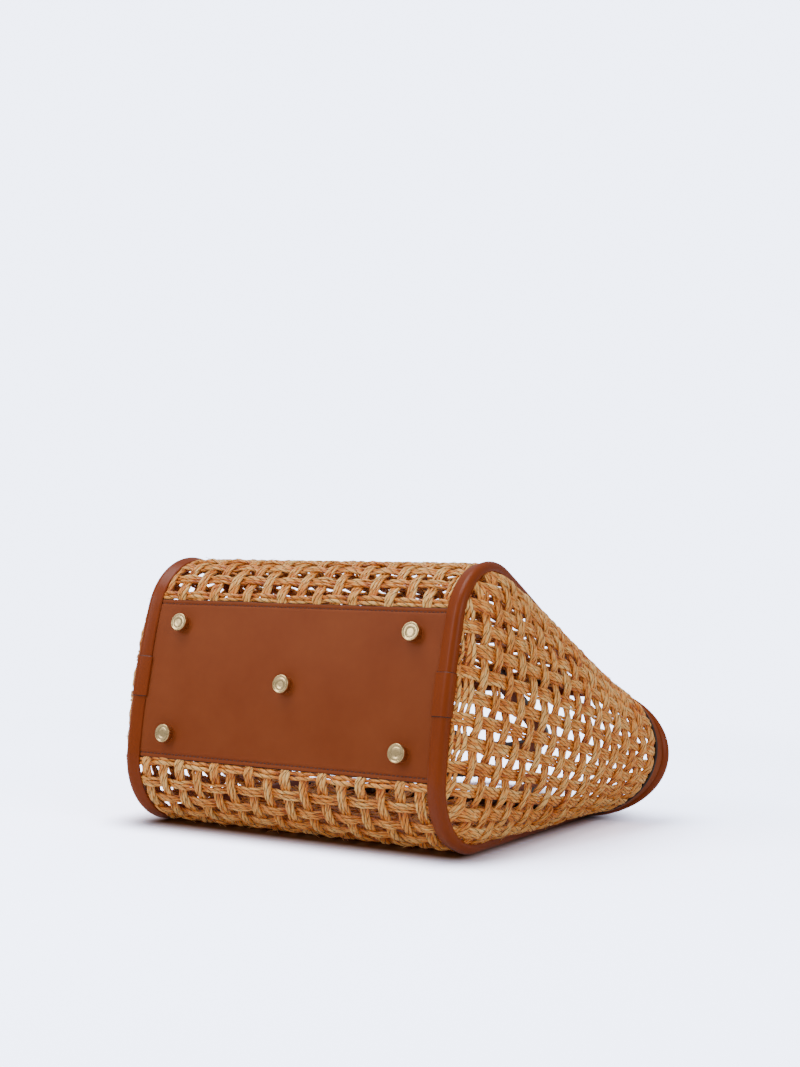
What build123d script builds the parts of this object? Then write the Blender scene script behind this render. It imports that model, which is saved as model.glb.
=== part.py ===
from build123d import *
from functools import partial
from math import acos, atan, cos, degrees, pi, sin, tan
import os

# Woven bag with a leather base, lying on its lower face. Millimetres, +Z up.
# While it is made, x is the bag's width, y runs from the base to the mouth and z from the lower
# face to the upper one. The finished pieces are then turned so that the lower face lies on z = 0.

# The bag
width = 237.0  # between the two pipings' centre lines
base_depth = 193.0  # between the corners of the two faces, before they are rounded
height = 213.5  # from the line between the base's corners to the mouth
base_bow = 8.4  # how far the middle of the base stands out
corner_radius = 42.0  # the base's rounded corners
upper_bow = 4.0  # how far the middle of the upper face stands out
mouth_depth = 81.0  # between the two faces at the mouth
mouth_drop = 9.5  # how far the mouth's middle lies below the base's
mouth_bulge = 54.0  # how far the mouth's round ends reach past the pipings
seat = 0.3  # the gap between pieces that are sewn together

# Woven panels and gussets
weave_inside = 0.5  # the weave's inner face lies this far inside the pipings' centre line
valley_height = 2.4  # and the outer face of a gap row this far outside it
ridge_height = 4.0  # and the outer face of a band this far
ridge_share = 0.52  # the share of a row's pitch that its band takes
panel_bands = 10  # bands of one panel, from the leather to the mouth
panel_gaps = 9  # gaps in each row between two bands
panel_gap_share = 0.48  # the share of a gap's pitch that is open
gusset_bands = 7
gusset_gaps = 7
gusset_bulge = 3.5  # how far a gusset swells out at the base
gusset_tuck = 3.0  # from the profile in to where its weave comes out behind the piping
gusset_gap_front = 8.0  # where its gaps begin, behind the line between the base's corners
gusset_gap_share = 0.5
gap_cut = 0.86  # the share of the room between two bands that a gap takes

# Leather base, its board and its feet
panel_arc = 107.0  # the base panel's length over its bow
leather = 1.6
leather_height = 1.5  # its outer face, outside the pipings' centre line
board = 2.4
board_arc = 96.0
board_end = 9.0  # from the board's end to the piping's centre line
foot_across = 181.0  # between the feet's centres
foot_apart = 74.0
foot_radius = 6.0
foot_height = 5.0
stem_radius = 5.4
stem_height = 2.8
foot_rim = 1.0
foot_sides = 18
foot_dish = 0.5
prong_width = 5.0
prong_thickness = 1.2
prong_leg = 14.0  # both bent legs together
slot_room = 0.2  # round a prong, each side
washer_length = 18.0
washer_width = 9.0
washer = 0.8

# Pipings and their sleeves
piping_radius = 4.3
piping_sides = 10
sleeve_arc = 24.0
sleeve_step = 0.2  # the sleeve stands this far above the piping
sleeve_wall = 0.6

# Mouth
band_width = 7.5
band_height = 2.6  # its outer face, outside the pipings' centre line
band_inside = 1.5
end_inset = 5.0  # from a piping's centre line in to the centre of the mouth's round end
end_sides = 12  # flats of a round end
roll_length = 7.5  # along the bag
roll_height = 4.3
roll_edge = 2.0  # the size of its flats

# Handles
handle_gap = 100.0  # between the legs' centre lines
handle_width = 15.0
handle_thickness = 4.0
handle_reach = 100.0  # beyond the mouth
handle_tail = 34.0  # inside the mouth

lower_slope = atan((base_depth / 2 - mouth_depth / 2 - mouth_drop) / height)
upper_slope = atan((base_depth / 2 - mouth_depth / 2 + mouth_drop) / height)
sleeve_radius = piping_radius + sleeve_step
tube_room = sleeve_radius + seat
tube_edge = sleeve_radius / cos(pi / piping_sides) + seat
roll_start = height - roll_length
band_start = roll_start - band_width
gusset_end = band_start - seat
steepest = upper_slope + 4 * upper_bow / height
weave_end = gusset_end - ridge_height * sin(steepest)
piping_end = gusset_end - tube_edge * sin(steepest)

# The side profile in y and z: the bowed base, its two rounded corners and the two faces' lines
low, middle, high = (0, -base_depth / 2), (-base_bow, 0), (0, base_depth / 2)
low_end = (height, -mouth_depth / 2 - mouth_drop)
high_end = (height, mouth_depth / 2 - mouth_drop)
upper_middle = (Vector(*high) + Vector(*high_end)) / 2
upper_middle += Vector(sin(upper_slope), cos(upper_slope)) * upper_bow
outline = make_face(
    TangentArc(middle, high, tangent=(0, 1))
    + ThreePointArc(high, upper_middle, high_end)
    + Polyline(high_end, low_end, low)
    + TangentArc(middle, low, tangent=(0, -1))
)
outline = fillet(outline.vertices().filter_by(lambda v: abs(v.X) < 1), corner_radius)
side = Wire(outline.edges().filter_by(lambda e: e.center().X < height - 1))
if side.position_at(0).Y > side.position_at(1).Y:
    side = Wire([edge.reversed() for edge in side.edges()])


def halved(near, far, before):
    """The place between near and far where before(place) turns false, found by halving."""
    for step in range(28):
        half = (near + far) / 2
        near, far = (half, far) if before(half) else (near, half)
    return near


lower_length = halved(0, 1, lambda share: side.position_at(share).Y < 0) * side.length
upper_length = side.length - lower_length


def at(arc, out=0.0):
    """The point at a length along the profile from the middle of the base, moved outwards.

    Lengths are positive towards the upper face and negative towards the lower one.
    """
    share = (lower_length + arc) / side.length
    point, along = side.position_at(share), side.tangent_at(share)
    return point + Vector(-along.Y, along.X, 0) * out


def frame_at(x, arc, out=0.0):
    """A plane on the profile at x: its local x is the bag's width and its local z points outwards."""
    point, beyond = at(arc, out), at(arc, out + 1)
    normal = beyond - point
    return Plane(origin=(x, point.X, point.Y), x_dir=(1, 0, 0), z_dir=(0, normal.X, normal.Y))


def arc_of(face, y):
    """The length along the profile to a place y on the upper face, 1, or the lower one, -1."""
    far = upper_length if face > 0 else lower_length
    return face * halved(far / 2, far, lambda arc: at(face * arc).X < y)


def face_z(face, y):
    """How high the line of a face stands at y."""
    return at(arc_of(face, y)).Y


def across(sketch, from_x, to_x):
    """A side-view sketch carried along the bag's width."""
    return extrude(Pos(from_x, 0, 0) * (Plane.YZ * sketch), to_x - from_x)


def stops(start, end, slack):
    """Lengths along the profile, between which straight lines stay within a slack of it."""
    half = (start + end) / 2
    if (at(half) - (at(start) + at(end)) / 2).length < slack:
        return [start, end]
    return stops(start, half, slack)[:-1] + stops(half, end, slack)


def ridges(skin, bands, start, end):
    """The section of a woven wall and the middles of its gap rows.

    skin(place, out) is the point at a place on the section, moved outwards. Each band is a ridge
    with sloping sides, and the room between two bands is a valley.
    """
    pitch = (end - start) / (bands - 1 + ridge_share)
    side_run = ridge_share * pitch / 8
    outer, inner, valleys = [], [], []
    for band in range(bands):
        near = start + band * pitch
        far = near + ridge_share * pitch
        outer += [skin(near, valley_height), skin(near + side_run, ridge_height)]
        outer += [skin(far - side_run, ridge_height), skin(far, valley_height)]
        inner += [skin(near, -weave_inside), skin(far, -weave_inside)]
        valleys.append(far + (1 - ridge_share) * pitch / 2)
    return outer + inner[::-1], valleys[:-1], pitch


# Woven panels
def woven_panel(face):
    """A panel's ridged section along the profile, carried across and cut with rows of gaps."""
    start, end = face * (panel_arc / 2 + seat), arc_of(face, weave_end)
    section, valleys, pitch = ridges(at, panel_bands, start, end)
    edge = width / 2 - tube_edge
    wall = across(make_face(Polyline(*section, close=True)), -edge, edge)
    column = 2 * edge / panel_gaps
    cutter = Box(column * panel_gap_share, (1 - ridge_share) * abs(pitch) * gap_cut, 4 * ridge_height)
    places = [(column * (gap + 0.5) - edge, valley) for valley in valleys for gap in range(panel_gaps)]
    return wall - [frame_at(x, valley) * cutter for x, valley in places]


# Pipings, their sleeves and the room that they take
def tube(arcs, radius):
    """A tube with flat sides at the right piping's place, straight between lengths of the profile."""
    route = Pos(width / 2, 0, 0) * (Plane.YZ * Polyline(*[at(arc) for arc in arcs]))
    start = Plane(origin=route @ 0, x_dir=(1, 0, 0), z_dir=route % 0)
    flats = start * RegularPolygon(radius / cos(pi / piping_sides), piping_sides)
    return sweep(flats, route, transition=Transition.RIGHT)


piping_line = stops(arc_of(-1, piping_end), 0, 0.35)[:-1] + stops(0, arc_of(1, piping_end), 0.35)
sleeve_line = [-sleeve_arc / 2, sleeve_arc / 2]
neck_line = [-sleeve_arc / 2 - seat, sleeve_arc / 2 + seat]
neck_radius = sleeve_radius - sleeve_wall - slot_room
neck_room = tube(neck_line, tube_room) - tube(neck_line, neck_radius)
right_piping = tube(piping_line, piping_radius) - neck_room
right_sleeve = tube(sleeve_line, sleeve_radius) - tube(sleeve_line, sleeve_radius - sleeve_wall)


# Woven gussets
gusset_front = -base_bow - ridge_height  # in front of the base, where the section is trimmed
end_centre = width / 2 - end_inset
end_turn = acos(end_inset / (end_inset + mouth_bulge))


def mouth_size(y):
    """The middle, the half depth and the end's reach of the bag's section at y, near the mouth."""
    upper, lower = face_z(1, y), face_z(-1, y)
    grown = (height - y) / (height - gusset_front)
    return (upper + lower) / 2, (upper - lower) / 2, end_inset + mouth_bulge - (mouth_bulge - gusset_bulge) * grown


def gusset_skin(y, share, out=0.0):
    """A point of the right gusset at y, at a share from -1, low, to 1, high, moved outwards.

    The section is a shallow bow in front and half an ellipse at the back, and straight lines
    join the two.
    """
    slope = upper_slope if share > 0 else lower_slope
    front_z = base_depth / 2 - gusset_front * tan(slope)
    front = Vector(width / 2 + gusset_bulge * (1 - share**2) + out, gusset_front, share * front_z)
    turn = share * end_turn
    centre, half, reach = back_size
    back = Vector(end_centre + (reach + out) * cos(turn), gusset_end, centre + (half + out) * sin(turn))
    return front + (back - front) * ((y - gusset_front) / (gusset_end - gusset_front))


back_size = mouth_size(gusset_end)


def gusset_gap(y, share, length, half_room):
    """A cutter for one gap of the gusset, square to its skin."""
    here = gusset_skin(y, share)
    along = gusset_skin(y + 1, share) - here
    around = gusset_skin(y, share + half_room) - here
    plane = Plane(origin=here, x_dir=along, z_dir=along.cross(around))
    return plane * Box(length, 2 * around.length * gap_cut, 4 * ridge_height)


def flat_sided(front, back):
    """A solid between two closed lines of points, with two triangles from each side to the other."""
    faces = [Face(Wire.make_polygon(points)) for points in (front, back)]
    for spot in range(len(front)):
        a, b, c, d = front[spot - 1], front[spot], back[spot], back[spot - 1]
        halves = ((a, b, c), (a, c, d)) if a.Z + b.Z < 0 else ((a, b, d), (b, c, d))
        faces += [Face(Wire.make_polygon(points)) for points in halves]
    return Solid(Shell(faces))


def gusset():
    """The ridged section in front and at the back, joined by flat faces and cut with gaps."""
    front, valleys, pitch = ridges(partial(gusset_skin, gusset_front), gusset_bands, -1, 1)
    back = ridges(partial(gusset_skin, gusset_end), gusset_bands, -1, 1)[0]
    wall = flat_sided(front, back)
    inside = [at(arc, -gusset_tuck) for arc in stops(-lower_length, 0, 0.35)[:-1] + stops(0, upper_length, 0.35)]
    wall &= across(make_face(Polyline(*inside, close=True)), 0, 2 * width)
    wall -= tube(piping_line, tube_room)
    column = (gusset_end - gusset_gap_front) / gusset_gaps
    half_room = (1 - ridge_share) * pitch / 2
    ys = [gusset_gap_front + column * (gap + 0.5) for gap in range(gusset_gaps)]
    return wall - [gusset_gap(y, v, column * gusset_gap_share, half_room) for y in ys for v in valleys]


# Leather base, its board and its feet
def foot_planes(out):
    """The planes on the base where the four corner feet and the middle foot stand."""
    corners = [(x, arc) for arc in (-foot_apart / 2, foot_apart / 2) for x in (-foot_across / 2, foot_across / 2)]
    return [frame_at(x, arc, out) for x, arc in corners + [(0, 0)]]


def base_layer(top, thickness, arc, end):
    """A bowed sheet across the base, with a slot for each foot's prong."""
    arcs = stops(-arc / 2, 0, 0.1)[:-1] + stops(0, arc / 2, 0.1)
    section = [at(place, top) for place in arcs] + [at(place, top - thickness) for place in arcs[::-1]]
    sheet = across(make_face(Polyline(*section, close=True)), end - width / 2, width / 2 - end)
    slot = Box(prong_thickness + 2 * slot_room, prong_width + 2 * slot_room, 4 * thickness)
    return sheet - [plane * slot for plane in foot_planes(top)]


board_height = leather_height - leather - seat
washer_height = board_height - board - seat
base_panel = base_layer(leather_height, leather, panel_arc, tube_edge)
base_board = base_layer(board_height, board, board_arc, board_end)


def foot():
    """A cap with a dished face on a stem, and prongs bent flat behind the washer.

    Its own z = 0 is the leather's outer face.
    """
    stem = extrude(RegularPolygon(stem_radius, foot_sides), stem_height)
    disc = extrude(Pos(0, 0, stem_height) * RegularPolygon(foot_radius, foot_sides), foot_height - stem_height)
    floor = Pos(0, 0, foot_height - foot_dish) * RegularPolygon(foot_radius - foot_rim, foot_sides)
    cap = stem + disc - extrude(floor, foot_dish)
    leg_top = washer_height - washer - leather_height - slot_room
    blade = Pos(0, 0, (leg_top - prong_thickness) / 2) * Box(prong_thickness, prong_width, prong_thickness - leg_top)
    legs = Pos(0, 0, leg_top - prong_thickness / 2) * Box(prong_leg, prong_width, prong_thickness)
    return cap + blade + legs


def foot_washer():
    """A plate with a slot for the prong, under z = 0."""
    slot = Box(prong_thickness + 2 * slot_room, prong_width + 2 * slot_room, 2 * washer)
    return Pos(0, 0, -washer / 2) * (Box(washer_length, washer_width, washer) - slot)


# Mouth
def mouth_slot(y, out):
    """The mouth's outline at y, moved outwards: straight along the faces and round at the ends."""
    centre, half, reach = mouth_size(y)
    tall, wide = half + out / cos(upper_slope), reach + out
    plane = Plane(origin=(0, y, centre), x_dir=(1, 0, 0), z_dir=(0, -1, 0))
    turns = [pi * (step / end_sides - 0.5) for step in range(end_sides + 1)]
    right = [(end_centre + wide * cos(turn), tall * sin(turn)) for turn in turns]
    left = [(-x, z) for x, z in right[::-1]]
    return plane * make_face(Polyline(*right, *left, close=True))


def mouth_ring(steps):
    """A ring that follows the faces' slope; each step is a place y and the outer face's height there."""
    outer = loft([mouth_slot(y, out) for y, out in steps], ruled=True)
    return outer - loft([mouth_slot(y, -band_inside) for y in (steps[0][0], steps[-1][0])], ruled=True)


mouth_band = mouth_ring([(band_start, band_height), (roll_start, band_height)])
mouth_roll = mouth_ring(
    [
        (roll_start, roll_height - roll_edge / 2),
        (roll_start + roll_edge, roll_height),
        (height - roll_edge, roll_height),
        (height, roll_height - roll_edge),
    ]
)


# Handles
def handle(face):
    """A flat strap cut as an arch, inside the mouth of a face."""
    outer, inner = (handle_gap + handle_width) / 2, (handle_gap - handle_width) / 2
    turns = [pi * step / end_sides for step in range(end_sides + 1)]
    bends = [[(r * cos(turn), handle_reach - outer + r * sin(turn)) for turn in turns] for r in (outer, inner)]
    tails = [[(side_x * r, -handle_tail) for r in (outer, inner)] for side_x in (-1, 1)]
    strap = make_face(Polyline(*bends[0], *tails[0], *bends[1][::-1], *tails[1][::-1], close=True))
    end = upper_length if face > 0 else -lower_length
    turned = Rot(0, 0, 0 if face > 0 else 180) * extrude(strap, -handle_thickness)
    return frame_at(0, end, -band_inside - seat) * turned


# The pieces, each by its node's name
right_gusset = gusset()
washer_shape = foot_washer()
foot_shape = foot()
pieces = {
    "base_panel": base_panel,
    "base_board": base_board,
    "upper_weave": woven_panel(1),
    "lower_weave": woven_panel(-1),
    "right_gusset": right_gusset,
    "left_gusset": mirror(right_gusset, Plane.YZ),
    "right_piping": right_piping,
    "left_piping": mirror(right_piping, Plane.YZ),
    "right_piping_sleeve": right_sleeve,
    "left_piping_sleeve": mirror(right_sleeve, Plane.YZ),
    "mouth_band": mouth_band,
    "mouth_roll": mouth_roll,
    "upper_handle": handle(1),
    "lower_handle": handle(-1),
}
foot_places = ["lower_left", "lower_right", "upper_left", "upper_right", "middle"]
for place, plane in zip(foot_places, foot_planes(leather_height)):
    pieces["foot_" + place] = plane * foot_shape
for place, plane in zip(foot_places, foot_planes(washer_height)):
    pieces["foot_washer_" + place] = plane * washer_shape

# The bag is turned to lie on its lower face, with the middle of its box over the origin
laid = {name: Rot(-degrees(lower_slope), 0, 0) * piece for name, piece in pieces.items()}
box = Compound(list(laid.values())).bounding_box()
seated = Pos(-box.center().X, -box.center().Y, -box.min.Z)
os.makedirs("parts", exist_ok=True)
for name, piece in laid.items():
    export_step(seated * piece, f"parts/{name}.step")
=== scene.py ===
import bpy
import numpy as np
from mathutils import Matrix


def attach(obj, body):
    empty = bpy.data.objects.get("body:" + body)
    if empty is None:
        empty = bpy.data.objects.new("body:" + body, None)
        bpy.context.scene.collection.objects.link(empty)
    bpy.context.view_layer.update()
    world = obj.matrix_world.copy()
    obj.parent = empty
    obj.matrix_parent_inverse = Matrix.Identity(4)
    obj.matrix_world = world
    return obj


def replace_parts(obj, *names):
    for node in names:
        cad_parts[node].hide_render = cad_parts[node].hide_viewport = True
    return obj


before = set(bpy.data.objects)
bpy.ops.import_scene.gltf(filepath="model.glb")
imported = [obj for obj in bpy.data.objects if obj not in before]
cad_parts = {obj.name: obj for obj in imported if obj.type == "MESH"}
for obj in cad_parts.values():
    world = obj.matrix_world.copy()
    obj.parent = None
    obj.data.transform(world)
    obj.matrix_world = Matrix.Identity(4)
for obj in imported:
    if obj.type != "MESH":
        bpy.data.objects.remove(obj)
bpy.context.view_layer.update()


# The view, the floor and the light.
# A camera low in front of the base and to its right, an endless sheet of white paper, and large soft
# lamps above and in front of the bag. The camera sees the paper brighter than it lights the bag,
# and a brown shadow is painted on the paper under the bag's footprint and a little way round it.
def to_linear(code):
    """An sRGB hex colour as linear red, green, blue and 1."""
    parts = np.array([int(code[place : place + 2], 16) for place in (1, 3, 5)]) / 255
    linear = np.where(parts <= 0.04045, parts / 12.92, ((parts + 0.055) / 1.055) ** 2.4)
    return (*linear, 1.0)


def add_node(finish, kind, values=None, **settings):
    """A node with its settings; each value goes to a socket by its name or number, as a value or a link."""
    tree = finish.node_tree
    node = tree.nodes.new(kind)
    for name, setting in settings.items():
        setattr(node, name, setting)
    for socket, value in (values or {}).items():
        if isinstance(value, bpy.types.NodeSocket):
            tree.links.new(value, node.inputs[socket])
        else:
            node.inputs[socket].default_value = value
    return node


def new_finish(name):
    """An empty material and its shader's node."""
    finish = bpy.data.materials.new(name)
    finish.use_nodes = True
    return finish, finish.node_tree.nodes["Principled BSDF"]


def shade(finish, shader, values):
    """Sets or links the shader's sockets."""
    for socket, value in values.items():
        if isinstance(value, bpy.types.NodeSocket):
            finish.node_tree.links.new(value, shader.inputs[socket])
        else:
            shader.inputs[socket].default_value = value


def build_mesh(name, points, faces, finishes, finish_numbers=None):
    """An object from points in metres and arrays of faces with the same number of corners each.

    Edges where the faces turn by more than 77 degrees stay sharp, and the rest are smooth.
    """
    mesh = bpy.data.meshes.new(name)
    loops = np.concatenate([group.ravel() for group in faces])
    totals = np.concatenate([np.full(len(group), group.shape[1]) for group in faces])
    mesh.vertices.add(len(points))
    mesh.vertices.foreach_set("co", np.asarray(points, np.float32).ravel())
    mesh.loops.add(len(loops))
    mesh.loops.foreach_set("vertex_index", loops.astype(np.int32))
    mesh.polygons.add(len(totals))
    mesh.polygons.foreach_set("loop_start", (np.cumsum(totals) - totals).astype(np.int32))
    for finish in finishes:
        mesh.materials.append(finish)
    if finish_numbers is not None:
        mesh.polygons.foreach_set("material_index", finish_numbers.astype(np.int32))
    mesh.update(calc_edges=True)
    mesh.shade_smooth()
    sharp_turn = 1.35
    mesh.set_sharp_from_angle(angle=sharp_turn)
    piece = bpy.data.objects.new(name, mesh)
    bpy.context.scene.collection.objects.link(piece)
    return piece


def grid_faces(rows, columns, round_rows=False, round_columns=False):
    """The four-cornered faces of a grid of points, joined round in either direction if asked."""
    row = np.arange(rows if round_rows else rows - 1)[:, None]
    column = np.arange(columns if round_columns else columns - 1)[None, :]
    next_row, next_column = (row + 1) % rows, (column + 1) % columns
    corners = [row * columns + column, row * columns + next_column]
    corners += [next_row * columns + next_column, next_row * columns + column]
    return np.stack(np.broadcast_arrays(*corners), -1).reshape(-1, 4)


view = bpy.data.cameras.new("view")
view.lens = 1600 / 1067 * 36
view.clip_end = 100
camera = bpy.data.objects.new("view", view)
bpy.context.scene.collection.objects.link(camera)
camera.matrix_world = Matrix(
    (
        (0.855492, -0.002939, 0.517808, 0.592027),
        (0.517749, -0.011189, -0.855459, -0.984452),
        (0.008308, 0.999933, -0.008050, 0.189796),
        (0, 0, 0, 1),
    )
)
bpy.context.scene.camera = camera

seen_white, seen_strength, paper_gain = to_linear("#DCE5FF"), 6.39, 5.3
paper, paper_shader = new_finish("white_paper")
paper.node_tree.nodes.remove(paper_shader)
paper_place = add_node(paper, "ShaderNodeTexCoord").outputs["Object"]
paper_place = add_node(paper, "ShaderNodeVectorMath", {0: paper_place}, operation="LENGTH")
paper_far = add_node(
    paper,
    "ShaderNodeMapRange",
    {"Value": paper_place.outputs["Value"], "From Min": 0.38, "From Max": 0.75},
    interpolation_type="SMOOTHSTEP",
)
# Painted shadow: the paper's colour darkens to brown inside the bag's footprint and fades out over shade_reach beyond
# it.
shadow_footprint_middle, shadow_footprint_half, shade_reach = (0.0, -0.033, 0.0), (0.114, 0.094, 1.0), 0.052
under = add_node(paper, "ShaderNodeTexCoord").outputs["Object"]
under_steps = [({1: shadow_footprint_middle}, "SUBTRACT"), ({}, "ABSOLUTE"), ({1: shadow_footprint_half}, "SUBTRACT")]
for values, operation in [*under_steps, ({}, "MAXIMUM")]:
    under = add_node(paper, "ShaderNodeVectorMath", {0: under, **values}, operation=operation).outputs["Vector"]
under = add_node(paper, "ShaderNodeVectorMath", {0: under}, operation="LENGTH").outputs["Value"]
beside = add_node(
    paper, "ShaderNodeMapRange", {"Value": under, "From Max": shade_reach}, interpolation_type="SMOOTHSTEP"
)
near_colour = tuple(paper_gain * part for part in seen_white[:3]) + (1.0,)
painted_shadow_values = {"Factor": beside.outputs["Result"], 6: to_linear("#7E5A3C"), 7: near_colour}
painted_shadow_tone = add_node(paper, "ShaderNodeMix", painted_shadow_values, data_type="RGBA")
paper_near = add_node(paper, "ShaderNodeBsdfDiffuse", {"Color": painted_shadow_tone.outputs[2]})
paper_end = add_node(paper, "ShaderNodeEmission", {"Color": seen_white, "Strength": seen_strength})
paper_seen = add_node(
    paper,
    "ShaderNodeMixShader",
    {0: paper_far.outputs["Result"], 1: paper_near.outputs["BSDF"], 2: paper_end.outputs["Emission"]},
)
paper_felt = add_node(paper, "ShaderNodeBsdfDiffuse", {"Color": to_linear("#E6E6E8")})
paper_rays = add_node(paper, "ShaderNodeLightPath")
paper_both = add_node(
    paper,
    "ShaderNodeMixShader",
    {0: paper_rays.outputs["Is Camera Ray"], 1: paper_felt.outputs["BSDF"], 2: paper_seen.outputs["Shader"]},
)
paper_output = paper.node_tree.nodes["Material Output"]
paper.node_tree.links.new(paper_both.outputs["Shader"], paper_output.inputs["Surface"])
sheet_x, sheet_y = np.meshgrid(np.linspace(-12, 12, 9), np.linspace(-12, 12, 9), indexing="ij")
sheet_points = np.stack([sheet_x, sheet_y, 0 * sheet_x], -1).reshape(-1, 3)
build_mesh("paper_sheet", sheet_points, [grid_faces(9, 9)[:, ::-1]], [paper])

lamps = [
    ("over", (-0.5, -0.3, 2.2), 1.6, 36),
    ("key", (-1.2, -1.9, 1.5), 1.2, 19),
    ("side", (2.0, -0.6, 1.1), 1.2, 12),
]
for lamp_name, lamp_place, lamp_size, lamp_power in lamps:
    lamp = bpy.data.lights.new(lamp_name, "AREA")
    lamp.shape, lamp.size, lamp.energy = "DISK", lamp_size, lamp_power
    lamp_object = bpy.data.objects.new(lamp_name, lamp)
    lamp_object.visible_camera = False
    bpy.context.scene.collection.objects.link(lamp_object)
    away = np.array(lamp_place) - (0, 0, 0.08)
    away /= np.linalg.norm(away)
    aside = np.cross((0, 0, 1), away)
    aside /= np.linalg.norm(aside)
    turned = np.stack([aside, np.cross(away, aside), away], 1)
    rows = [(*row, place) for row, place in zip(turned, lamp_place)]
    lamp_object.matrix_world = Matrix(rows + [(0, 0, 0, 1)])
sky = bpy.data.worlds.new("studio")
sky.use_nodes = True
sky_felt = sky.node_tree.nodes["Background"]
sky_felt.inputs["Color"].default_value = to_linear("#F4F5F8")
sky_felt.inputs["Strength"].default_value = 0.45
sky_seen = add_node(sky, "ShaderNodeBackground", {"Color": seen_white, "Strength": seen_strength})
sky_rays = add_node(sky, "ShaderNodeLightPath")
sky_both = add_node(
    sky,
    "ShaderNodeMixShader",
    {0: sky_rays.outputs["Is Camera Ray"], 1: sky_felt.outputs["Background"], 2: sky_seen.outputs["Background"]},
)
sky_output = sky.node_tree.nodes["World Output"]
sky.node_tree.links.new(sky_both.outputs["Shader"], sky_output.inputs["Surface"])
bpy.context.scene.world = sky


# The base board and the washers.
# A board of pressed fibre stiffens the base. Each foot's prongs pass through it and are bent over
# a steel washer. Their solids have the right shape, so they only take a finish.
fibre, fibre_shader = new_finish("pressed_fibreboard")
fibre_place = add_node(fibre, "ShaderNodeTexCoord").outputs["Object"]
fibre_grain = add_node(fibre, "ShaderNodeTexNoise", {"Vector": fibre_place, "Scale": 900.0, "Detail": 4.0})
fibre_tone = add_node(
    fibre,
    "ShaderNodeMix",
    {"Factor": fibre_grain.outputs["Fac"], 6: to_linear("#3A2A1C"), 7: to_linear("#543F2B")},
    data_type="RGBA",
)
fibre_bump = add_node(
    fibre, "ShaderNodeBump", {"Height": fibre_grain.outputs["Fac"], "Strength": 0.3, "Distance": 0.0003}
)
shade(
    fibre,
    fibre_shader,
    {"Base Color": fibre_tone.outputs[2], "Roughness": 0.85, "Normal": fibre_bump.outputs["Normal"]},
)
steel, steel_shader = new_finish("zinc_plated_steel")
steel_place = add_node(steel, "ShaderNodeTexCoord").outputs["Object"]
steel_grain = add_node(steel, "ShaderNodeTexNoise", {"Vector": steel_place, "Scale": 1500.0, "Detail": 2.0})
steel_rough = add_node(
    steel, "ShaderNodeMapRange", {"Value": steel_grain.outputs["Fac"], "To Min": 0.3, "To Max": 0.5}
)
steel_values = {"Base Color": to_linear("#B9BABD"), "Metallic": 1.0, "Roughness": steel_rough.outputs["Result"]}
shade(steel, steel_shader, steel_values)
for node_name, node_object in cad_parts.items():
    if node_name == "base_board" or node_name.startswith("foot_washer"):
        node_object.data.materials.clear()
        node_object.data.materials.append(fibre if node_name == "base_board" else steel)


# The base panel.
# One sheet of smooth saddle leather over the bowed base. Its long edges are painted dark and
# stitched down over the weave, and its short edges lie under a narrow flange of each piping.
# The dark edge paint also covers the face's last 0.6 mm, partly real edge paint and partly painted shade of the gap
# to the weave.
width, base_depth, height, base_bow, corner_radius = 237.0, 193.0, 213.5, 8.4, 42.0
mouth_depth, mouth_drop, mouth_bulge, upper_bow = 81.0, 9.5, 54.0, 4.0
lower_slope = np.arctan((base_depth / 2 - mouth_depth / 2 - mouth_drop) / height)
upper_slope = np.arctan((base_depth / 2 - mouth_depth / 2 + mouth_drop) / height)
lying_y, lying_z = 137.895, 98.6843  # from the bag's own frame to the floor and the box's middle


def arc_points(middle, radius, start, end):
    """Points every quarter of a millimetre on an arc about a middle, from start to end."""
    first, last = (np.arctan2(*(point - middle)[::-1]) for point in (start, end))
    turn = (last - first + np.pi) % (2 * np.pi) - np.pi
    turns = first + turn * np.linspace(0, 1, max(int(abs(turn) * radius / 0.25), 4))
    return middle + radius * np.stack([np.cos(turns), np.sin(turns)], -1)


def half_profile(end_z, bow):
    """The base's bow, its round corner and one face, as points (y, z) from the base's middle.

    Base and face are arcs, and the corner is an arc that touches both from inside. So the corner's
    middle is nearer to each of their middles, by its radius, than they are.
    """
    base_radius = (base_depth**2 / 4 + base_bow**2) / (2 * base_bow)
    base_middle = np.array([base_radius - base_bow, 0.0])
    start, end = np.array([0.0, base_depth / 2]), np.array([height, end_z])
    run = np.hypot(*(end - start))
    outwards = np.array([start[1] - end[1], end[0] - start[0]]) / run
    face_radius = (run**2 / 4 + bow**2) / (2 * bow)
    face_middle = (start + end) / 2 - outwards * (face_radius - bow)
    near, far = base_radius - corner_radius, face_radius - corner_radius
    gap = face_middle - base_middle
    apart = np.hypot(*gap)
    along = (near**2 - far**2 + apart**2) / (2 * apart)
    aside = np.array([-gap[1], gap[0]]) / apart * np.sqrt(near**2 - along**2)
    crossings = [base_middle + gap / apart * along + sign * aside for sign in (-1, 1)]
    middle = min(crossings, key=lambda point: np.hypot(*(point - start)))
    on_base = base_middle + (middle - base_middle) / near * base_radius
    on_face = face_middle + (middle - face_middle) / far * face_radius
    base = arc_points(base_middle, base_radius, np.array([-base_bow, 0.0]), on_base)
    corner = arc_points(middle, corner_radius, on_base, on_face)
    return np.concatenate([base[:-1], corner[:-1], arc_points(face_middle, face_radius, on_face, end)])


upper_half = half_profile(mouth_depth / 2 - mouth_drop, upper_bow)
lower_half = half_profile(mouth_depth / 2 + mouth_drop, 0.001) * (1, -1)
profile = np.concatenate([lower_half[:0:-1], upper_half])
profile_arcs = np.concatenate([[0], np.cumsum(np.hypot(*np.diff(profile, axis=0).T))])
profile_arcs -= profile_arcs[len(lower_half) - 1]
lower_length, upper_length = -profile_arcs[0], profile_arcs[-1]
profile_along = np.gradient(profile, profile_arcs, axis=0)
profile_along /= np.hypot(*profile_along.T)[:, None]


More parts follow.
